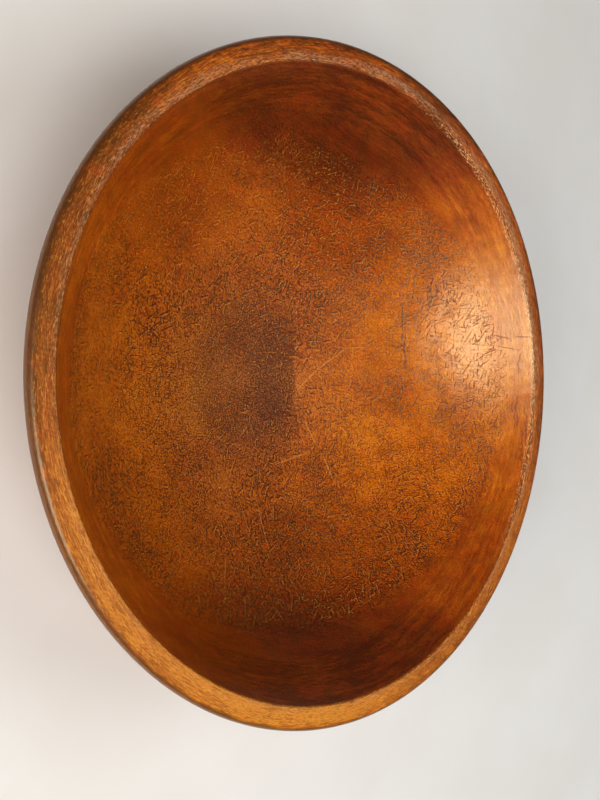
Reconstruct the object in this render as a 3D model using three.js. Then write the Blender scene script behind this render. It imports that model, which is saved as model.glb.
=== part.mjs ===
// A turned wooden bowl: one blank, hollowed to a shallow dish with a flat rim and a flat foot.
// The wood has moved since it was turned round, so the bowl is a little oval and its rim is a
// shallow saddle. Millimetres, +Z up. The origin is the middle of the foot's flat face, and X
// runs along the grain.

import * as THREE from "three";

// Overall sizes. Wood hardly shrinks along its grain, and does across it.
const DIAMETER_ALONG_GRAIN = 334;
const DIAMETER_ACROSS_GRAIN = 326;
const INSIDE_DEPTH = 73; // from the middle of the floor up to the rim
const FLOOR_THICKNESS = 12; // at the middle

// Rim
const RIM_WIDTH = 11.4; // from the inner edge to the widest line of the outside
const RIM_OUTER_ROUNDING = 3;
const RIM_INNER_ROUNDING = 1; // an edge worn soft by use
const RIM_SADDLE = 2.9; // the rim's rise across the grain, and its fall along it

// Outside
const WALL_LEAN = 38; // degrees off the vertical, just under the rim
const FOOT_DIAMETER = 120;
const FOOT_ROUNDING = 2;

// Facets
const FACETS_ROUND = 96;
const INSIDE_STEPS = 14;
const OUTSIDE_STEPS = 12;
const FLAT_STEPS = 3;
const CORNER_STEPS = 4;
const EDGE_STEPS = 2;

// The turned shape, before the wood moved
const radius = (DIAMETER_ALONG_GRAIN + DIAMETER_ACROSS_GRAIN) / 4;
const height = FLOOR_THICKNESS + INSIDE_DEPTH;

// The points of an arc, from one angle to another, in radians from the horizontal.
function arc(centre, arcRadius, from, to, steps) {
  const clockwise = to < from;
  const curve = new THREE.EllipseCurve(
    centre.x,
    centre.y,
    arcRadius,
    arcRadius,
    from,
    to,
    clockwise,
  );
  return curve.getPoints(steps);
}

// The points between two ends of a straight line, without the ends.
function between(start, end, steps) {
  return Array.from({ length: steps - 1 }, (_, i) =>
    new THREE.Vector2().lerpVectors(start, end, (i + 1) / steps),
  );
}

// The outside: a rounded corner at the foot, one long arc up the wall, and the rim's outer corner,
// with a point on its widest line. The wall's arc is tangent to both corners, which sets its radius.
function outsideProfile() {
  const lean = THREE.MathUtils.degToRad(WALL_LEAN);
  const foot = new THREE.Vector2(FOOT_DIAMETER / 2 - FOOT_ROUNDING, FOOT_ROUNDING);
  const corner = new THREE.Vector2(
    radius - RIM_OUTER_ROUNDING,
    height - RIM_OUTER_ROUNDING,
  );
  const outward = new THREE.Vector2(Math.cos(lean), -Math.sin(lean));
  const wallTop = corner.clone().addScaledVector(outward, RIM_OUTER_ROUNDING);
  const chord = wallTop.clone().sub(foot);
  const wallRadius =
    (chord.lengthSq() - FOOT_ROUNDING ** 2) /
    (2 * (chord.dot(outward) - FOOT_ROUNDING));
  const wallCentre = wallTop.clone().addScaledVector(outward, -wallRadius);
  const towardsFoot = foot.clone().sub(wallCentre);
  const wallFoot = Math.atan2(towardsFoot.y, towardsFoot.x);
  return [
    ...arc(foot, FOOT_ROUNDING, -Math.PI / 2, wallFoot, EDGE_STEPS),
    ...arc(wallCentre, wallRadius, wallFoot, -lean, OUTSIDE_STEPS).slice(1),
    ...arc(corner, RIM_OUTER_ROUNDING, -lean, 0, EDGE_STEPS).slice(1),
    ...arc(corner, RIM_OUTER_ROUNDING, 0, Math.PI / 2, CORNER_STEPS).slice(1),
  ];
}

// The inside: the worn inner edge of the rim, and a bowl that is part of a sphere.
function insideProfile() {
  const innerRadius = radius - RIM_WIDTH;
  const sphereRadius =
    (innerRadius ** 2 + INSIDE_DEPTH ** 2) / (2 * INSIDE_DEPTH);
  const sphere = new THREE.Vector2(0, FLOOR_THICKNESS + sphereRadius);
  const edgeHeight = height - RIM_INNER_ROUNDING;
  const edge = new THREE.Vector2(
    Math.sqrt(
      (sphereRadius + RIM_INNER_ROUNDING) ** 2 - (sphere.y - edgeHeight) ** 2,
    ),
    edgeHeight,
  );
  const towardsEdge = Math.atan2(edge.y - sphere.y, edge.x - sphere.x);
  return [
    ...arc(edge, RIM_INNER_ROUNDING, Math.PI / 2, towardsEdge + Math.PI, EDGE_STEPS),
    ...arc(sphere, sphereRadius, towardsEdge, -Math.PI / 2, INSIDE_STEPS).slice(1, -1),
    new THREE.Vector2(0, FLOOR_THICKNESS),
  ];
}

// The whole section, from the middle of the foot round the rim to the middle of the floor.
function section() {
  const outside = outsideProfile();
  const inside = insideProfile();
  const middle = new THREE.Vector2(0, 0);
  return [
    middle,
    ...between(middle, outside[0], FLAT_STEPS),
    ...outside,
    ...between(outside.at(-1), inside[0], FLAT_STEPS),
    ...inside,
  ];
}

// Moves a turned shape as the drying wood did: longer along the grain than across it, and cupped
// into a saddle that grows with the height, so that the foot stays flat.
function moveLikeDryingWood(geometry) {
  const place = geometry.getAttribute("position");
  for (let i = 0; i < place.count; i += 1) {
    const x = place.getX(i);
    const y = place.getY(i);
    const z = place.getZ(i);
    const saddle = (y ** 2 - x ** 2) / radius ** 2;
    place.setXYZ(
      i,
      (x * DIAMETER_ALONG_GRAIN) / (2 * radius),
      (y * DIAMETER_ACROSS_GRAIN) / (2 * radius),
      z + (RIM_SADDLE * saddle * z) / height,
    );
  }
  geometry.computeVertexNormals();
}

const varnishedHardwood = new THREE.MeshStandardMaterial({
  color: 0xa5601f,
  roughness: 0.45,
  metalness: 0,
});

const bowlGeometry = new THREE.LatheGeometry(section(), FACETS_ROUND);
bowlGeometry.rotateX(Math.PI / 2);
moveLikeDryingWood(bowlGeometry);

const bowl = new THREE.Mesh(bowlGeometry, varnishedHardwood);
bowl.name = "bowl";

const turnedBowl = new THREE.Group();
turnedBowl.add(bowl);

export default turnedBowl;
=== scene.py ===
"""A turned wooden bowl on a pale table, seen from above its near side.

Metres, Z up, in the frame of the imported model: the origin is the middle of the bowl's foot, on the
table, and X runs along the grain.
"""

import bpy
import numpy as np
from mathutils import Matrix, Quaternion, Vector


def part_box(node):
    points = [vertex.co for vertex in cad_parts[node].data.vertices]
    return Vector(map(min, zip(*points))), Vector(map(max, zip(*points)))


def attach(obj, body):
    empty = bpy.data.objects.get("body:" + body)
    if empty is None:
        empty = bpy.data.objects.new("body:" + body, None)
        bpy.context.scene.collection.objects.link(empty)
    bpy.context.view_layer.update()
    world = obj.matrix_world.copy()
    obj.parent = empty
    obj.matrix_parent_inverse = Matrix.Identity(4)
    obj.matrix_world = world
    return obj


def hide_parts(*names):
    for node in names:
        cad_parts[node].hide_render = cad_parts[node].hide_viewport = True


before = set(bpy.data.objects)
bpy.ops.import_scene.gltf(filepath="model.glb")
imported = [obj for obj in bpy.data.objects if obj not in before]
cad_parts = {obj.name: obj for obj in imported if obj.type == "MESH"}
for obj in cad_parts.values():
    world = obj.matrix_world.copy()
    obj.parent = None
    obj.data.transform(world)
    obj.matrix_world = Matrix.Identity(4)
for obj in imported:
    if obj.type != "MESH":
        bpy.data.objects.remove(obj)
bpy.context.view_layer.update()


# The camera: held above one end of the grain, 48 degrees up and half a metre off, and turned on
# its side, so that the near side of the rim is at the left of the picture.
CAMERA_PLACE = Vector((-0.3129, -0.0944, 0.4119))
CAMERA_AIM = Vector((0.0324, 0.0015, 0.012))
CAMERA_ROLL = 90.99  # degrees
FOCAL_LENGTH = 28.65  # millimetres, behind a sensor 24 mm high
SENSOR_HEIGHT = 24

camera = bpy.data.objects.new("camera", bpy.data.cameras.new("camera"))
camera.data.sensor_fit = "VERTICAL"
camera.data.sensor_height = SENSOR_HEIGHT
camera.data.lens = FOCAL_LENGTH
camera.data.clip_start = 0.01
line_of_sight = CAMERA_AIM - CAMERA_PLACE
roll = Quaternion(line_of_sight.normalized(), np.radians(-CAMERA_ROLL))
camera.rotation_mode = "QUATERNION"
camera.rotation_quaternion = roll @ line_of_sight.to_track_quat("-Z", "Y")
camera.location = CAMERA_PLACE
bpy.context.scene.collection.objects.link(camera)
bpy.context.scene.camera = camera


# The bowl: one blank of hardwood turned inside and out, with a flat rim and a flat foot. Drying
# has left it longer along the grain than across it, and has cupped the rim into a shallow saddle.
bowl_low, bowl_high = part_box("bowl")
LENGTH_ALONG_GRAIN = bowl_high[0] - bowl_low[0]
LENGTH_ACROSS_GRAIN = bowl_high[1] - bowl_low[1]
INSIDE_DEPTH = 0.073  # from the middle of the floor up to the rim
FLOOR_THICKNESS = 0.012  # at the middle
RIM_WIDTH = 0.0114
RIM_OUTER_ROUNDING = 0.003
RIM_INNER_ROUNDING = 0.001
RIM_SADDLE = 0.0029  # the rim's rise across the grain, and its fall along it
WALL_LEAN = 38  # degrees off the vertical, just under the rim
FOOT_DIAMETER = 0.120
FOOT_ROUNDING = 0.002

# What use has done to the turned surface
EDGE_WEAR = 0.00035  # how far the rim has worn down at its inner edge
EDGE_WEAR_WIDTH = 0.0036  # on the rim's top
EDGE_WEAR_REACH = 0.004  # down the inside
EDGE_DENTS = 0.00012
FLOOR_UNEVENNESS = 0.00014  # left by years of chopping
FLOOR_RIPPLES = (0.021, 0.027, 0.034, 0.046, 0.058)  # wavelengths of the uneven floor
UNEVEN_RADIUS, SMOOTH_RADIUS = 0.12, 0.145  # the unevenness ends between them

COLUMNS = 600  # steps round the bowl
INSIDE_STEPS = 80
WALL_STEPS = 36
FLAT_STEPS = 10
CORNER_STEPS = 10
EDGE_STEPS = 5

radius = (LENGTH_ALONG_GRAIN + LENGTH_ACROSS_GRAIN) / 4
height = FLOOR_THICKNESS + INSIDE_DEPTH
inner_radius = radius - RIM_WIDTH


def arc(centre, arc_radius, start, end, steps):
    """Points of an arc: the centre plus its radius times the cosine and sine of even angles."""
    angle = np.linspace(start, end, steps + 1)
    return centre + arc_radius * np.column_stack([np.cos(angle), np.sin(angle)])


def line(start, end, steps):
    """Points of a straight line, evenly spaced from its start to its end."""
    return np.linspace(start, end, steps + 1)


def outside_profile():
    """The foot's rounded corner, one long arc up the wall, and the rim's outer corner.

    The wall's arc is tangent to both corners: with c the chord from the foot corner's centre to the
    top of the wall and n the wall's outward direction there, its radius is
    (c.c - foot rounding squared) / (2 (c.n - foot rounding)).
    """
    lean = np.radians(WALL_LEAN)
    foot = np.array([FOOT_DIAMETER / 2 - FOOT_ROUNDING, FOOT_ROUNDING])
    corner = np.array([radius - RIM_OUTER_ROUNDING, height - RIM_OUTER_ROUNDING])
    outward = np.array([np.cos(lean), -np.sin(lean)])
    wall_top = corner + RIM_OUTER_ROUNDING * outward
    chord = wall_top - foot
    wall_radius = (chord @ chord - FOOT_ROUNDING**2) / (2 * (chord @ outward - FOOT_ROUNDING))
    wall_centre = wall_top - wall_radius * outward
    wall_foot = np.arctan2(*(foot - wall_centre)[::-1])
    return np.vstack([
        line((0, 0), (foot[0], 0), FLAT_STEPS),
        arc(foot, FOOT_ROUNDING, -np.pi / 2, wall_foot, EDGE_STEPS)[1:],
        arc(wall_centre, wall_radius, wall_foot, -lean, WALL_STEPS)[1:],
        arc(corner, RIM_OUTER_ROUNDING, -lean, 0, EDGE_STEPS)[1:],
        arc(corner, RIM_OUTER_ROUNDING, 0, np.pi / 2, CORNER_STEPS)[1:],
    ])


def inside_profile():
    """The rounded inner edge of the rim, and a bowl that is part of a sphere, down to its middle.

    The sphere passes through the rim's inner edge and the middle of the floor, so its radius is
    (inner radius squared + depth squared) / (2 depth).
    """
    sphere_radius = (inner_radius**2 + INSIDE_DEPTH**2) / (2 * INSIDE_DEPTH)
    sphere = np.array([0, FLOOR_THICKNESS + sphere_radius])
    edge_height = height - RIM_INNER_ROUNDING
    reach = sphere_radius + RIM_INNER_ROUNDING
    edge = np.array([np.sqrt(reach**2 - (sphere[1] - edge_height) ** 2), edge_height])
    towards_edge = np.arctan2(*(edge - sphere)[::-1])
    return np.vstack([
        arc(edge, RIM_INNER_ROUNDING, np.pi / 2, towards_edge + np.pi, EDGE_STEPS),
        arc(sphere, sphere_radius, towards_edge, -np.pi / 2, INSIDE_STEPS)[1:],
    ])


def waves(angle, counts, seed):
    """A mean of cosines round the bowl, each with its own count of waves and a seeded phase."""
    phases = np.random.default_rng(seed).uniform(0, 2 * np.pi, len(counts))
    total = sum(np.cos(count * angle + phase) for count, phase in zip(counts, phases))
    return total / len(counts)


def ripples(across, along, lengths, seed):
    """A mean of sine waves over a plane, each with its own length and seeded direction and phase."""
    rng = np.random.default_rng(seed)
    total = 0
    for length in lengths:
        turn, phase = rng.uniform(0, 2 * np.pi, 2)
        forward = across * np.cos(turn) + along * np.sin(turn)
        total = total + np.sin(2 * np.pi * forward / length + phase)
    return total / len(lengths)


def soft_step(value, start, end):
    """0 before the start, 1 after the end, and 3 t^2 - 2 t^3 between them."""
    t = np.clip((value - start) / (end - start), 0, 1)
    return t * t * (3 - 2 * t)


def bowl_mesh():
    """The whole section turned about Z, worn, and then moved as the drying wood moved.

    A point at distance s along the section and angle a round it is (r(s) cos a, r(s) sin a, z(s)).
    Wear takes a little off along z at the rim's inner edge, and off along z over the floor. The
    move stretches x, shrinks y, and adds saddle * (y^2 - x^2) / radius^2 * z / height to z.
    """
    outside, inside = outside_profile(), inside_profile()
    rim = line(outside[-1], inside[0], FLAT_STEPS)[1:-1]
    section = np.vstack([outside, rim, inside])
    steps = np.linalg.norm(np.diff(section, axis=0), axis=1)
    to_middle = np.append(np.cumsum(steps[::-1])[::-1], 0)  # along the section to the floor
    rings = len(section)

    angle = np.arange(COLUMNS) * 2 * np.pi / COLUMNS
    ring, column = np.meshgrid(np.arange(rings), np.arange(COLUMNS), indexing="ij")
    r, z = section[ring, 0], section[ring, 1]
    a, s = angle[column], to_middle[ring]
    x, y = r * np.cos(a), r * np.sin(a)

    inner_side = (ring >= len(outside)).astype(float)
    from_edge = np.clip((inner_radius + EDGE_WEAR_WIDTH - r) / EDGE_WEAR_WIDTH, 0, 1.3)
    down_to = soft_step(r, inner_radius - EDGE_WEAR_REACH, inner_radius)
    near_edge = inner_side * from_edge**2 * down_to
    depth = EDGE_WEAR * (1 + 0.25 * waves(a, (2, 3, 5, 9), 4))
    depth = depth + EDGE_DENTS * waves(a, (31, 47, 72, 90), 5)
    z = z - near_edge * depth
    on_floor = inner_side * (1 - soft_step(r, UNEVEN_RADIUS, SMOOTH_RADIUS))
    z = z + on_floor * FLOOR_UNEVENNESS * (ripples(x, y, FLOOR_RIPPLES, 6) - 1)

    z = z + RIM_SADDLE * (y**2 - x**2) / radius**2 * z / height
    x = x * LENGTH_ALONG_GRAIN / (2 * radius)
    y = y * LENGTH_ACROSS_GRAIN / (2 * radius)
    grid = np.stack([x, y, z], axis=-1)
    place = np.stack([s * np.cos(a), s * np.sin(a), s], axis=-1)

    # One point at each pole, and whole rings between them
    points = np.vstack([grid[0, :1], grid[1:-1].reshape(-1, 3), grid[-1, :1]])
    places = np.vstack([place[0, :1], place[1:-1].reshape(-1, 3), place[-1, :1]])
    index = 1 + (np.arange(rings - 2)[:, None] * COLUMNS + np.arange(COLUMNS))
    after = np.roll(index, -1, axis=1)
    quads = np.stack([index[:-1], after[:-1], after[1:], index[1:]], axis=-1).reshape(-1, 4)
    last = len(points) - 1
    under_fan = np.stack([np.zeros(COLUMNS, int), after[0], index[0]], axis=-1)
    floor_fan = np.stack([index[-1], after[-1], np.full(COLUMNS, last)], axis=-1)

    mesh = bpy.data.meshes.new("bowl")
    mesh.from_pydata(points.tolist(), [], quads.tolist() + under_fan.tolist() + floor_fan.tolist())
    mesh.shade_smooth()
    turned = mesh.attributes.new("turned_place", "FLOAT_VECTOR", "POINT")
    turned.data.foreach_set("vector", places.ravel())
    unwrap(mesh, places, to_middle[len(outside) - 1 - CORNER_STEPS])
    return mesh


def unwrap(mesh, places, split):
    """Lays out the inside and the rim as one disc, and the outside as another, on a square.

    Each point goes to (distance from its own pole / length to the split) * disc radius, at its
    angle round the bowl. split is the distance along the section from the floor's middle to the
    bowl's widest line. The margin keeps the discs off the square's edges.
    """
    inside_disc, outside_disc, margin = 0.372, 0.212, 0.004
    corner = np.empty(len(mesh.loops), int)
    mesh.loops.foreach_get("vertex_index", corner)
    starts, totals = np.empty(len(mesh.polygons), int), np.empty(len(mesh.polygons), int)
    mesh.polygons.foreach_get("loop_start", starts)
    mesh.polygons.foreach_get("loop_total", totals)
    face = np.repeat(np.arange(len(starts)), totals)
    s = places[corner, 2]
    middle = np.bincount(face, s) / totals
    inner = (middle < split)[face]
    length = places[:, 2].max()
    out = np.where(inner, s / split * inside_disc, (length - s) / (length - split) * outside_disc)
    still = np.zeros((len(s), 2))
    direction = np.divide(places[corner, :2], s[:, None], out=still, where=s[:, None] > 0)
    centre = np.where(inner[:, None], inside_disc + margin, 1 - outside_disc - margin)
    uv = centre + out[:, None] * direction
    mesh.uv_layers.new(name="OFBake").data.foreach_set("uv", uv.ravel())


bowl = bpy.data.objects.new("turned_bowl", bowl_mesh())
bpy.context.scene.collection.objects.link(bowl)


class Value:
    """A number that changes over a surface: a node's socket, with Python's arithmetic on it."""

    def __init__(self, finish, socket):
        self.finish = finish
        self.socket = socket

    def maths(self, operation, *others):
        return self.finish.node("Math", {"operation": operation}, dict(enumerate((self, *others))))

    def __add__(self, other):
        return self.maths("ADD", other)

    def __sub__(self, other):
        return self.maths("SUBTRACT", other)

    def __mul__(self, other):
        return self.maths("MULTIPLY", other)

    def __truediv__(self, other):
        return self.maths("DIVIDE", other)

    def __pow__(self, other):
        return self.maths("POWER", other)

    def __rsub__(self, other):
        return self.finish.node("Math", {"operation": "SUBTRACT"}, {0: other, 1: self})

    __radd__ = __add__
    __rmul__ = __mul__

    def size(self):
        return self.maths("ABSOLUTE")

    def least(self, other):
        return self.maths("MINIMUM", other)

    def most(self, other):
        return self.maths("MAXIMUM", other)

    def step(self, start, end):
        """0 up to the start, 1 from the end on, and smooth between."""
        settings = {"interpolation_type": "SMOOTHSTEP", "clamp": False}
        sockets = {"Value": self, "From Min": start, "From Max": end}
        return self.finish.node("MapRange", settings, sockets)


class Finish:
    """One material, or the room, whose nodes are added by a single method."""

    def __init__(self, name, kept_in=bpy.data.materials):
        self.owner = kept_in.new(name)
        self.owner.use_nodes = True
        self.owner.node_tree.nodes.clear()

    def node(self, kind, settings=None, sockets=None, output=0):
        """Adds a node: its settings are set first, then its sockets get their values or links.

        The setting stops fills a colour ramp with (position, colour) pairs. output names the
        socket that comes back, or is a tuple of names for several.
        """
        added = self.owner.node_tree.nodes.new("ShaderNode" + kind)
        for name, setting in (settings or {}).items():
            if name == "stops":
                ramp = added.color_ramp.elements
                for position, colour in setting[1:-1]:
                    ramp.new(position)
                for stop, (position, colour) in zip(ramp, setting):
                    stop.position, stop.color = position, (*colour, 1)
            else:
                setattr(added, name, setting)
        for name, given in (sockets or {}).items():
            if isinstance(given, Value):
                self.owner.node_tree.links.new(given.socket, added.inputs[name])
            else:
                added.inputs[name].default_value = given
        if isinstance(output, tuple):
            return [Value(self, added.outputs[name]) for name in output]
        return Value(self, added.outputs[output]) if added.outputs else added

    def mixed(self, share, first, second):
        """The first colour where the share is 0, and the second where it is 1."""
        first, second = ((*c, 1) if isinstance(c, tuple) else c for c in (first, second))
        return self.node("Mix", {"data_type": "RGBA"}, {0: share, 6: first, 7: second}, output=2)


def noise(finish, place, size, stretch=(1, 1, 1), turn=0, detail=2, shift=0, flat=False, output=0):
    """Noise from about 0.2 to 0.8, with lumps of a size, stretched along axes turned about Z.

    Flat noise depends on X and Y alone.
    """
    drawn = {
        "Vector": place,
        "Scale": tuple(size * s for s in stretch),
        "Rotation": (0, 0, turn),
        "Location": (shift, shift, shift),
    }
    mapped = finish.node("Mapping", {"vector_type": "TEXTURE"}, drawn)
    sockets = {"Vector": mapped, "Scale": 1.0, "Detail": detail}
    return finish.node("TexNoise", {"noise_dimensions": "2D" if flat else "3D"}, sockets, output)


def laid(x, y, middle, radii, turn):
    """X and Y from a middle, along axes turned by degrees about Z, as shares of the radii."""
    cosine, sine = np.cos(np.radians(turn)), np.sin(np.radians(turn))
    along, across = radii
    start = middle[0] * cosine + middle[1] * sine, middle[1] * cosine - middle[0] * sine
    first = x * (cosine / along) + y * (sine / along) - start[0] / along
    second = y * (cosine / across) - x * (sine / across) - start[1] / across
    return first, second


def stain(x, y, middle, radii, turn, edge, ragged):
    """1 inside an ellipse and 0 outside. The edge is a share of the radii, and ragged bends it."""
    along, across = laid(x, y, middle, radii, turn)
    distance = (along * along + across * across) ** 0.5 + ragged
    return 1 - distance.step(1 - edge, 1 + edge)


def scratch(x, y, start, end, width):
    """A straight scratch: 1 - (way from its middle / half length)^4 - |way off its line| / width."""
    start, end = np.array(start), np.array(end)
    run = end - start
    turn = np.degrees(np.arctan2(run[1], run[0]))
    along, across = laid(x, y, (start + end) / 2, (np.linalg.norm(run) / 2, width), turn)
    return (1 - along**4 - across.size()).most(0)


def cuts(finish, place, length, gap, half_width, share):
    """Straight cuts that run more or less along X: one to each long cell of a random lattice.

    The cells are about a length long and a gap wide. With (u, v) the place from a cell's middle
    along and across it, and three random numbers of the cell, a cut leans by 0.5 (r1 - 0.5), is
    length (0.4 + 0.6 r2) long, and is (r3 + share - 1) / share strong where that is over 0. Its
    depth is 1 - (u / half its length)^4 - |v| / half_width, no less than 0. A strip of the same
    shape, at 2 half widths to one side, marks the burr that the blade raised beside it, where a
    painted highlight goes.
    """
    cell = finish.node("VectorMath", {"operation": "DIVIDE"}, {0: place, 1: (length, gap, 1)})
    lattice = {"voronoi_dimensions": "2D", "feature": "F1", "distance": "EUCLIDEAN"}
    sockets = {"Vector": cell, "Scale": 1.0, "Randomness": 0.9}
    random, middle = finish.node("TexVoronoi", lattice, sockets, output=("Color", "Position"))
    r1, r2, r3 = finish.node("SeparateColor", {}, {"Color": random}, output=("Red", "Green", "Blue"))
    away = finish.node("VectorMath", {"operation": "SUBTRACT"}, {0: cell, 1: middle})
    u, v = finish.node("SeparateXYZ", {}, {"Vector": away}, output=("X", "Y"))
    v = v * (gap / half_width) + u * (r1 - 0.5) * (0.5 * length / half_width)
    end = 1 - (u / (r2 * 0.3 + 0.2)) ** 4
    strength = ((r3 + (share - 1)) / share).most(0)
    return (end - v.size()).most(0) * strength, (end - (v - 2).size()).most(0) * strength


# Distances along the section from the middle of the floor, in millimetres
SMOOTH_BAND = 145  # it starts where the knife seldom reached
INNER_EDGE = 175
FLAT_END = 184  # of the rim's top
WIDEST_LINE = 189
FOOT_FACE = 325

# Colours of the stained wood, from where the stain is thinnest to where it is deepest
STAIN_SHADES = [
    (0.0, (0.74, 0.25, 0.014)),
    (0.25, (0.47, 0.101, 0.002)),
    (0.44, (0.27, 0.041, 0.001)),
    (0.71, (0.085, 0.011, 0.0003)),
    (1.0, (0.030, 0.004, 0.0001)),
]
RIM_GOLD = (0.40, 0.155, 0.006)
SOAKED_BROWN = (0.070, 0.015, 0.007)
DIRT_IN_CUTS = (0.045, 0.009, 0.001)
# Bare wood in the scratches, and a painted highlight on the burrs beside the cuts
BARE_WOOD_AND_BURR_GLINT = (0.76, 0.29, 0.03)
# The rim's pale inner band: partly worn varnish, partly a painted reflection
WORN_EDGE_AND_REFLECTION = (0.54, 0.28, 0.14)
PALE_FLECK = (0.80, 0.37, 0.04)
DARK_FLECK = (0.12, 0.03, 0.002)
# Painted shade on the rim's outer rounding
OUTER_EDGE_SHADE = (0.06, 0.018, 0.006)
# A painted glint along the rim's inner edge
EDGE_GLINT = (0.84, 0.50, 0.20)
# Painted shade along the rim's inner edge
INNER_EDGE_SHADE = (0.10, 0.03, 0.006)
RUBBED_FOOT = (0.36, 0.16, 0.055)
SCUFF = (0.42, 0.17, 0.04)
VARNISH_TINT = (1.0, 0.90, 0.62)

# Where the inside is darker or lighter, mostly by the stain being deeper or thinner, and on the
# walls towards +Y and -Y partly by painted shade: middle, radii, turn in degrees, edge, change
STAIN_AND_SHADE_ZONES = [
    ((76, 24), (60, 76), 0, 0.6, -0.09),  # the far half of the floor, where most work was done
    ((132, 74), (44, 66), 30, 0.6, -0.24),  # the wall beyond it
    # the wall towards +Y: darker, partly as painted shade
    ((-30, 130), (92, 26), 12, 0.5, 0.45),
    ((-105, 70), (42, 52), 30, 0.6, 0.13),
    ((28, 132), (50, 24), -12, 0.5, -0.05),
    # the wall towards -Y: darker, partly as painted shade
    ((30, -134), (105, 32), 6, 0.6, 0.44),
    ((112, -84), (44, 40), 0, 0.6, 0.10),
    ((-62, -10), (36, 44), 0, 0.6, -0.13),
    ((96, 116), (28, 28), 0, 0.6, 0.08),
    ((62, -6), (26, 24), 0, 0.6, -0.14),
    ((-62, -112), (60, 22), -35, 0.6, 0.04),
    ((40, -84), (44, 26), 10, 0.6, 0.06),
    ((15, 98), (40, 24), 0, 0.6, 0.20),
    ((-112, 72), (30, 34), 0, 0.6, 0.08),
]
# The stain's zones on the rim's top, with the same columns
RIM_ZONES = [
    ((-165, 0), (40, 90), 0, 0.5, 0.36),
    ((130, -110), (60, 40), 0, 0.5, 0.16),
    ((0, -160), (60, 30), 0, 0.6, -0.18),
    ((24, 160), (50, 30), 0, 0.6, 0.04),
    ((90, 132), (50, 50), 0, 0.6, -0.14),
]
# The dark patch where something has soaked in, its faint near half and its core: middle, radii,
# turn, edge
DARK_PATCH = ((-8, 4), (40, 42), 20, 0.22)
NEAR_HALF = ((-26, -6), (56, 50), 20, 0.6)
PATCH_CORE = ((12, 8), (15, 35), 16, 0.5)

# Where the knife hardly worked: middle, radii, turn, edge, share of the marks that is missing
RESTED_ZONES = [
    ((70, 10), (46, 54), 0, 0.6, 0.45),
    ((-20, 96), (60, 30), 8, 0.6, 0.5),
    ((-105, 70), (40, 50), 30, 0.6, 0.75),
]
# Knife cuts in layers, each turned from the one before: length, gap between cuts and half width in
# millimetres, share of the cells that have one, and the share that is missing on the far wall
CUT_LAYERS = [
    (4.0, 1.2, 0.32, 0.60, 0.45),
    (3.0, 1.0, 0.30, 0.55, 0.6),
    (6.0, 1.5, 0.33, 0.60, 0.0),
    (3.6, 1.1, 0.31, 0.55, 0.6),
    (10.0, 3.2, 0.38, 0.65, 0.0),
    (5.0, 1.4, 0.32, 0.60, 0.2),
    (2.8, 1.0, 0.30, 0.55, 0.6),
    (7.0, 1.7, 0.33, 0.60, 0.0),
    (13.0, 3.6, 0.38, 0.65, 0.0),
    (3.8, 1.2, 0.31, 0.55, 0.5),
]
FAR_WALL = ((124, 70), (46, 74), 20, 0.5)  # middle, radii, turn, edge
LAYER_TURN = 0.62  # radians
LAYER_PIVOT = (230, 70, 0)
DRIFT_SIZE = 80
DRIFT = (26, 26, 0)  # how far the lie of the cuts wanders

# Single dark cuts, from, to and strength: two at the foot of the far wall, and finer ones on its
# smooth band
DEEP_CUTS = [
    ((69, 73), (82, 46), 1.2),
    ((74, 66), (89, 34), 1.0),
    ((119, 69), (130, 69), 0.5),
    ((125, 63), (136, 62), 0.5),
    ((130, 71), (137, 72), 0.5),
    ((143, 40), (149, 15), 0.45),
    ((148, 36), (154, 8), 0.45),
    ((150, 22), (154, -5), 0.4),
    ((142, 37), (149, 12), 0.45),
    ((136, 62), (141, 46), 0.4),
]
DEEP_CUT_WIDTH = 0.5
# Single pale scratches on the floor: from, to and width
PALE_SCRATCHES = [
    ((35, -8), (47, -22), 0.5),
    ((51, -25), (59, -38), 0.5),
    ((20, -39), (44, -25), 0.45),
    ((26, 3), (38, 24), 0.5),
    ((36, 20), (50, 38), 0.45),
    ((48, 37), (62, 42), 0.4),
    ((9, -57), (18, -88), 0.26),
    ((-18, -110), (-12, -88), 0.24),
]
LATHE_RADIUS = 160  # of the cylinder that the lathe's lines are laid on


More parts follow.
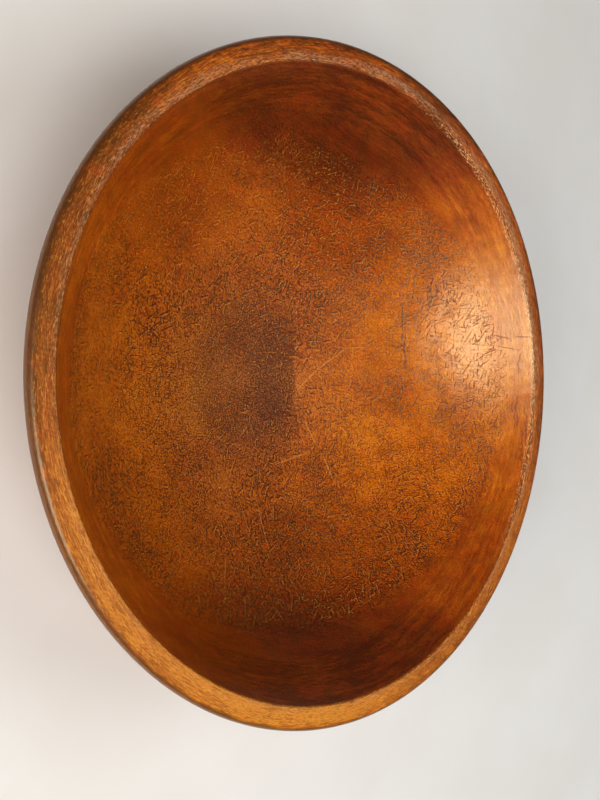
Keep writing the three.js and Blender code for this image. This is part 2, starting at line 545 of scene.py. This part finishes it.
def bowl_finish():
    """Orange-brown stain under worn satin varnish, over wood whose grain runs along X.

    The object's coordinates and turned_place are turned into millimetres. x and y are the place
    seen from above, and s is the distance along the section from the middle of the floor.
    """
    wood = Finish("varnished_hardwood")
    object_place = wood.node("TexCoord", {}, {}, output="Object")
    place = wood.node("VectorMath", {"operation": "SCALE"}, {0: object_place, "Scale": 1000.0})
    turned_metres = wood.node("Attribute", {"attribute_name": "turned_place"}, {}, output="Vector")
    turned = wood.node("VectorMath", {"operation": "SCALE"}, {0: turned_metres, "Scale": 1000.0})
    x, y = wood.node("SeparateXYZ", {}, {"Vector": place}, output=("X", "Y"))
    along, across, s = wood.node("SeparateXYZ", {}, {"Vector": turned}, output=("X", "Y", "Z"))
    # Round the bowl: a cylinder, with the distance along the section as its height
    round_x, round_y = along / s * LATHE_RADIUS, across / s * LATHE_RADIUS
    round_place = wood.node("CombineXYZ", {}, {"X": round_x, "Y": round_y, "Z": s})

    cloud = noise(wood, place, 34, detail=4, shift=7)
    small_cloud = noise(wood, place, 8, detail=3, shift=19)
    ragged = (cloud - 0.5) * 0.9 + (small_cloud - 0.5) * 0.5
    grain = noise(wood, place, 0.8, stretch=(30, 1, 1), detail=3)
    speckle = noise(wood, turned, 0.62, stretch=(1.6, 1, 1), turn=0.9, shift=31, flat=True)
    bands = noise(wood, place, 7, stretch=(14, 1, 1), detail=3, shift=3)
    lathe = noise(wood, round_place, 0.5, stretch=(12, 12, 1), shift=5)
    lathe_bands = noise(wood, round_place, 3.0, stretch=(14, 14, 1), detail=3, shift=9)

    inside = 1 - s.step(INNER_EDGE - 0.4, INNER_EDGE + 0.4)
    on_rim = s.step(INNER_EDGE - 0.2, INNER_EDGE + 0.8)
    on_rim = on_rim * (1 - s.step(WIDEST_LINE - 1.5, WIDEST_LINE + 1))
    on_wall = s.step(SMOOTH_BAND - 3, SMOOTH_BAND + 11) * inside
    outside = s.step(WIDEST_LINE - 2, WIDEST_LINE + 2)
    under = s.step(FOOT_FACE - 3, FOOT_FACE + 2)
    # The knife reached further up the wall on two sides, 16 degrees off the grain, than elsewhere
    towards, between = x * 0.96 + y * 0.28, y * 0.96 - x * 0.28
    reach = (towards**2 - between**2) / (towards**2 + between**2)
    worked_to = s - reach * 13 + (cloud - 0.5) * 26
    chopped = 1 - worked_to.step(SMOOTH_BAND - 7, SMOOTH_BAND + 7)

    # How dark the wood is, from 0 to 1: the stain's depth, from rubbed thin to deep, and on the
    # inside's walls towards +Y and -Y partly painted shade
    stain_and_shade = 0.56 + (cloud - 0.5) * 0.35 + (small_cloud - 0.5) * 0.3
    stain_and_shade = stain_and_shade + (bands - 0.5) * 0.3 + (grain - 0.5) * 0.35
    # The zones: stain, and on the walls towards +Y and -Y partly painted shade
    by_place = 0.0
    for middle, radii, turn, edge, change in STAIN_AND_SHADE_ZONES:
        by_place = stain(x, y, middle, radii, turn, edge, ragged) * change + by_place
    stain_and_shade = stain_and_shade + by_place * inside + (lathe_bands - 0.5) * (on_wall * 0.55 + outside * 0.6)
    stain_and_shade = stain_and_shade + (lathe - 0.5) * (on_wall * 0.6 + outside * (1 - under) * 0.55)
    stain_and_shade = stain_and_shade + outside * 0.10 - under * 0.12

    # Knife work: cuts all ways and of all lengths, dark with what has settled in them
    drift = noise(wood, turned, DRIFT_SIZE, detail=0, flat=True, output="Color")
    drifted = {0: drift, 1: DRIFT, 2: turned}
    laid_out = wood.node("VectorMath", {"operation": "MULTIPLY_ADD"}, drifted)
    far_wall = stain(x, y, *FAR_WALL, ragged)
    dark, burr = 0.0, 0.0
    for length, gap, half_width, share, missing in CUT_LAYERS:
        depth, beside = cuts(wood, laid_out, length, gap, half_width, share)
        dark, burr = depth * (1 - far_wall * missing) + dark, beside + burr
        about = {"Vector": laid_out, "Center": LAYER_PIVOT, "Angle": LAYER_TURN}
        laid_out = wood.node("VectorRotate", {"rotation_type": "Z_AXIS"}, about)
    rested = 0.0
    for middle, radii, turn, edge, missing in RESTED_ZONES:
        rested = stain(x, y, middle, radii, turn, edge, ragged) * missing + rested
    rested = rested.least(0.85)
    worked = chopped * ((cloud - 0.5) * 3 + 1.0).most(0.3) * (1 - rested)
    dark = dark * worked
    burr = burr * chopped
    bent_x, bent_y = x + (small_cloud - 0.5) * 5, y + (cloud - 0.5) * 10
    for start, end, strength in DEEP_CUTS:
        dark = scratch(bent_x, bent_y, start, end, DEEP_CUT_WIDTH) * inside * strength + dark
    dark = dark.least(1)
    stain_and_shade = stain_and_shade + dark * 0.72 + (speckle - 0.5) * (0.38 + chopped * 0.44) - chopped * 0.07 - 0.08

    # The rim's top: lighter on the side towards -Y, and darker on the side towards +Y
    towards_minus_y = (x * -0.25 - y * 0.97) / 165
    rim_deep = 0.43 - towards_minus_y * 0.26 + (lathe - 0.5) * 1.6 + (lathe_bands - 0.5) * 0.6
    rim_deep = rim_deep + (small_cloud - 0.5) * 0.5 + (grain - 0.5) * 0.6
    for middle, radii, turn, edge, change in RIM_ZONES:
        rim_deep = rim_deep + stain(x, y, middle, radii, turn, edge, ragged) * change
    rim_deep = rim_deep + (s + (cloud - 0.5) * 6).step(FLAT_END - 3, FLAT_END + 1.5) * 0.2
    stain_and_shade = stain_and_shade + (rim_deep - stain_and_shade) * on_rim

    base = wood.node("ValToRGB", {"stops": STAIN_SHADES}, {"Fac": stain_and_shade / 1.4})
    warmth = {"Hue": 0.5 + (small_cloud - 0.5) * 0.025, "Color": base}
    base = wood.node("HueSaturation", {}, warmth, output="Color")

    # The dark patch: sharp at its far edge and faint at its near one
    patch = stain(x, y, *DARK_PATCH, ragged * 0.7)
    near_half = stain(x, y, *NEAR_HALF, ragged)
    far_edge = 1 - (x + y * 0.35 + (small_cloud - 0.5) * 8).step(25, 29)
    core = stain(x, y, *PATCH_CORE, ragged)
    soaked = (patch * 0.32 + near_half * 0.20 + core * 0.26) * far_edge
    soaked = (soaked + patch * (grain - 0.5) * 0.5) * inside
    colour = wood.mixed(on_rim * (0.12 + towards_minus_y * 0.12), base, RIM_GOLD)
    colour = wood.mixed((soaked * (1 + (speckle - 0.5) * 3)).most(0), colour, SOAKED_BROWN)

    # A painted highlight on the burrs beside the cuts, bare wood in the single scratches, and dirt
    # in the cuts
    light = (burr - 0.35).most(0) * 1.3
    for start, end, width in PALE_SCRATCHES:
        light = scratch(x, y, start, end, width) * inside * 1.1 + light
    colour = wood.mixed(dark * 0.42, colour, DIRT_IN_CUTS)
    colour = wood.mixed((light * 0.6).least(0.6), colour, BARE_WOOD_AND_BURR_GLINT)

    # The rim: a pale band by its inner edge, of worn varnish with a painted reflection in it, its
    # flecks, a dark outer line of painted shade, and at its inner edge painted glints and a line of
    # painted shade
    fleck = noise(wood, round_place, 0.42, stretch=(4.5, 4.5, 1), shift=13)
    # The pale band on the rim's top by its inner edge: partly worn varnish, partly a painted
    # reflection
    pale_band_from = (s + (small_cloud - 0.5) * 2.4).step(INNER_EDGE, INNER_EDGE + 0.8)
    pale_band_to = (s + (cloud - 0.5) * 9 + towards_minus_y * 1.5).step(INNER_EDGE + 2, INNER_EDGE + 5.5)
    worn_and_reflected_share = 0.18 + (fleck - 0.5) * 2.2 + (lathe_bands - 0.5) * 1.2
    worn_and_reflected_share = pale_band_from * (1 - pale_band_to) * worn_and_reflected_share * (0.75 - towards_minus_y * 0.45)
    colour = wood.mixed(worn_and_reflected_share.most(0).least(0.6), colour, WORN_EDGE_AND_REFLECTION)
    golden = on_rim * (0.52 + towards_minus_y * 0.3)
    colour = wood.mixed(((fleck - 0.56) * 5).most(0).least(0.7) * golden, colour, PALE_FLECK)
    colour = wood.mixed(((0.44 - fleck) * 5).most(0).least(0.6) * on_rim, colour, DARK_FLECK)
    # The dark outer line: painted shade on the rim's outer rounding
    outer_shade = (s + (small_cloud - 0.5) * 1.6).step(FLAT_END + 0.2, FLAT_END + 2)
    outer_shade = outer_shade * (1 - s.step(WIDEST_LINE + 1, WIDEST_LINE + 7))
    colour = wood.mixed(outer_shade * 0.78, colour, OUTER_EDGE_SHADE)
    # Painted glints along the rim's inner edge, on the side towards +X
    glint_side = (x + y * 0.35).step(40, 110) * y.step(-70, 10)
    edge_glints = s.step(INNER_EDGE - 2.4, INNER_EDGE - 1.4)
    edge_glints = edge_glints * (1 - s.step(INNER_EDGE + 0.4, INNER_EDGE + 1.2)) * glint_side
    edge_glints = ((fleck - 0.5) * 6 * edge_glints).most(0).least(0.7)
    colour = wood.mixed(edge_glints, colour, EDGE_GLINT)
    # A dashed dark line of painted shade along the rim's inner edge
    inner_shade = s.step(INNER_EDGE - 0.6, INNER_EDGE)
    inner_shade = inner_shade * (1 - s.step(INNER_EDGE + 0.6, INNER_EDGE + 1.2))
    inner_shade = ((0.62 - fleck) * 4 * inner_shade).most(0).least(0.6)
    colour = wood.mixed(inner_shade, colour, INNER_EDGE_SHADE)

    # The foot: its face is dull and rubbed, and its edge is worn pale
    foot_edge = (s + (small_cloud - 0.5) * 6).step(FOOT_FACE - 4, FOOT_FACE - 1)
    foot_edge = foot_edge * (1 - (s + (cloud - 0.5) * 10).step(FOOT_FACE + 2, FOOT_FACE + 9))
    foot_worn = under * (0.35 + (small_cloud - 0.5) * 1.6) + foot_edge * (0.3 + (fleck - 0.5) * 3)
    foot_worn = foot_worn.most(0).least(0.7)
    colour = wood.mixed(foot_worn, colour, RUBBED_FOOT)
    scuffed = (small_cloud - 0.56) * (speckle - 0.3) * outside * 9
    colour = wood.mixed(scuffed.most(0).least(0.4), colour, SCUFF)

    # Height in millimetres: cuts, lathe lines on the wall and the outside, and the grain's ridges
    height_mm = (dark - 0.2).most(0) * -0.06 + (speckle - 0.5) * 0.025 * chopped
    height_mm = height_mm + (small_cloud - 0.5) * 0.2 + (fleck - 0.5) * on_rim * 0.05
    height_mm = height_mm + (lathe - 0.5) * (on_wall * 0.09 + outside * 0.12)
    height_mm = height_mm + (grain - 0.5) * outside * 0.06
    relief = {"Strength": 1.0, "Distance": 0.001, "Height": height_mm}
    bump = wood.node("Bump", {}, relief, output="Normal")
    rough = 0.21 + (cloud - 0.5) * 0.10 + dark * 0.3 + on_rim * 0.12
    rough = rough + on_wall * (0.08 + (lathe - 0.5) * 0.2)
    rough = rough + outside * (0.16 + (small_cloud - 0.5) * 0.3) + foot_worn * 0.3

    shader = wood.node(
        "BsdfPrincipled",
        {},
        {
            "Base Color": colour,
            "Roughness": rough,
            "Normal": bump,
            "IOR": 1.5,
            "Specular IOR Level": 1.0,
            "Specular Tint": (*VARNISH_TINT, 1),
        },
        output="BSDF",
    )
    wood.node("OutputMaterial", {}, {"Surface": shader})
    return wood.owner


bowl.data.materials.append(bowl_finish())
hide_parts("bowl")
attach(bowl, "root")


# The table: a plain pale sheet under the bowl. Far off it fades into the pale room, so that its
# edge doesn't show.
TABLE_WIDTH = 6.0
TABLE_COLOUR = (0.76, 0.75, 0.73)
TABLE_MOTTLE = (0.79, 0.79, 0.78)
ROOM_COLOUR = (0.72, 0.71, 0.70)
ROOM_STARTS, ROOM_FILLS = 0.7, 1.9  # metres from the bowl


def table_mesh():
    """A square in the plane z = 0."""
    half = TABLE_WIDTH / 2
    mesh = bpy.data.meshes.new("table")
    corners = [(-half, -half, 0), (half, -half, 0), (half, half, 0), (-half, half, 0)]
    mesh.from_pydata(corners, [], [(0, 1, 2, 3)])
    return mesh


def pale_seen(finish):
    """Two values: 1 for what the camera sees, and 1 for what shows in a gloss or through a glass."""
    camera_ray, glossy_ray, clear_ray = finish.node(
        "LightPath", {}, {}, output=("Is Camera Ray", "Is Glossy Ray", "Is Transmission Ray")
    )
    return camera_ray, (glossy_ray + clear_ray).least(1)


def table_finish():
    """Matt paper, hardly darker in some places than in others, that fades into the room far off."""
    paper = Finish("pale_paper")
    place = paper.node("TexCoord", {}, {}, output="Object")
    distance = paper.node("VectorMath", {"operation": "LENGTH"}, {0: place}, output="Value")
    mottle = noise(paper, place, 0.09, detail=3)
    colour = paper.mixed(mottle.step(0.3, 0.7), TABLE_COLOUR, TABLE_MOTTLE)
    sheet = paper.node("BsdfPrincipled", {}, {"Base Color": colour, "Roughness": 0.9}, output="BSDF")
    room = paper.node("Emission", {}, {"Color": (*ROOM_COLOUR, 1), "Strength": 1.0})
    seen, mirrored = pale_seen(paper)
    far = distance.step(ROOM_STARTS, ROOM_FILLS) * (seen + mirrored).least(1)
    shader = paper.node("MixShader", {}, {0: far, 1: sheet, 2: room})
    paper.node("OutputMaterial", {}, {"Surface": shader})
    return paper.owner


table = bpy.data.objects.new("table", table_mesh())
bpy.context.scene.collection.objects.link(table)
table.data.materials.append(table_finish())


# The light: one high window on the camera's side puts the sheen on the far wall, and a warm pale
# wall beyond the bowl shows faintly in the varnish. A low window on the same side and broad lamps
# all round light the wood and the table, and don't show in the varnish.
LIGHT_DISTANCE = 1.5


def soft_light(name, azimuth, elevation, width, tall, colour, level, in_varnish=False):
    """An ellipse that faces the bowl from an azimuth and elevation in degrees.

    Its power is level * pi^2 * distance^2, so that a white matt card that faces it looks as
    bright as the level.
    """
    a, e = np.radians([azimuth, elevation])
    away = Vector((np.cos(a) * np.cos(e), np.sin(a) * np.cos(e), np.sin(e)))
    lamp = bpy.data.lights.new(name, "AREA")
    lamp.shape = "ELLIPSE"
    lamp.size, lamp.size_y = width, tall
    lamp.color = colour
    lamp.energy = level * np.pi**2 * LIGHT_DISTANCE**2
    light = bpy.data.objects.new(name, lamp)
    light.location = away * LIGHT_DISTANCE
    light.rotation_euler = away.to_track_quat("Z", "Y").to_euler()
    light.visible_glossy = in_varnish
    bpy.context.scene.collection.objects.link(light)


soft_light("window", 230, 58, 0.75, 0.85, (1.0, 0.95, 0.88), 0.45, in_varnish=True)
soft_light("low_window", 204, 27, 0.9, 0.6, (1.0, 0.93, 0.84), 0.62)
soft_light("window_wall", 262, 54, 0.9, 0.8, (1.0, 0.97, 0.93), 0.08)
soft_light("far_lamp", 8, 60, 1.0, 0.8, (0.97, 0.98, 1.0), 0.35)
soft_light("side_lamp", -60, 32, 1.0, 0.8, (0.94, 0.98, 1.0), 0.09)
soft_light("pale_wall", 14, 38, 1.4, 0.8, (1.0, 0.84, 0.60), 0.014, in_varnish=True)


# The room: dim enough to light the bowl only a little. The camera sees its walls as pale, and in
# the varnish they show only near the horizon, under a dark ceiling.
ROOM_LIGHT = 0.05
WALLS_UP_TO = 0.05  # the sine of the height at which they end

room = Finish("pale_room", bpy.data.worlds)
direction = room.node("TexCoord", {}, {}, output="Generated")
up = room.node("SeparateXYZ", {}, {"Vector": direction}, output="Z")
seen, mirrored = pale_seen(room)
wall = (seen + mirrored * (1 - up.step(0, WALLS_UP_TO))).least(1)
colour = room.mixed(wall, (ROOM_LIGHT, ROOM_LIGHT, ROOM_LIGHT), ROOM_COLOUR)
background = room.node("Background", {}, {"Color": colour, "Strength": 1.0})
room.node("OutputWorld", {}, {"Surface": background})
bpy.context.scene.world = room.owner
bpy.context.scene.view_settings.view_transform = "Standard"
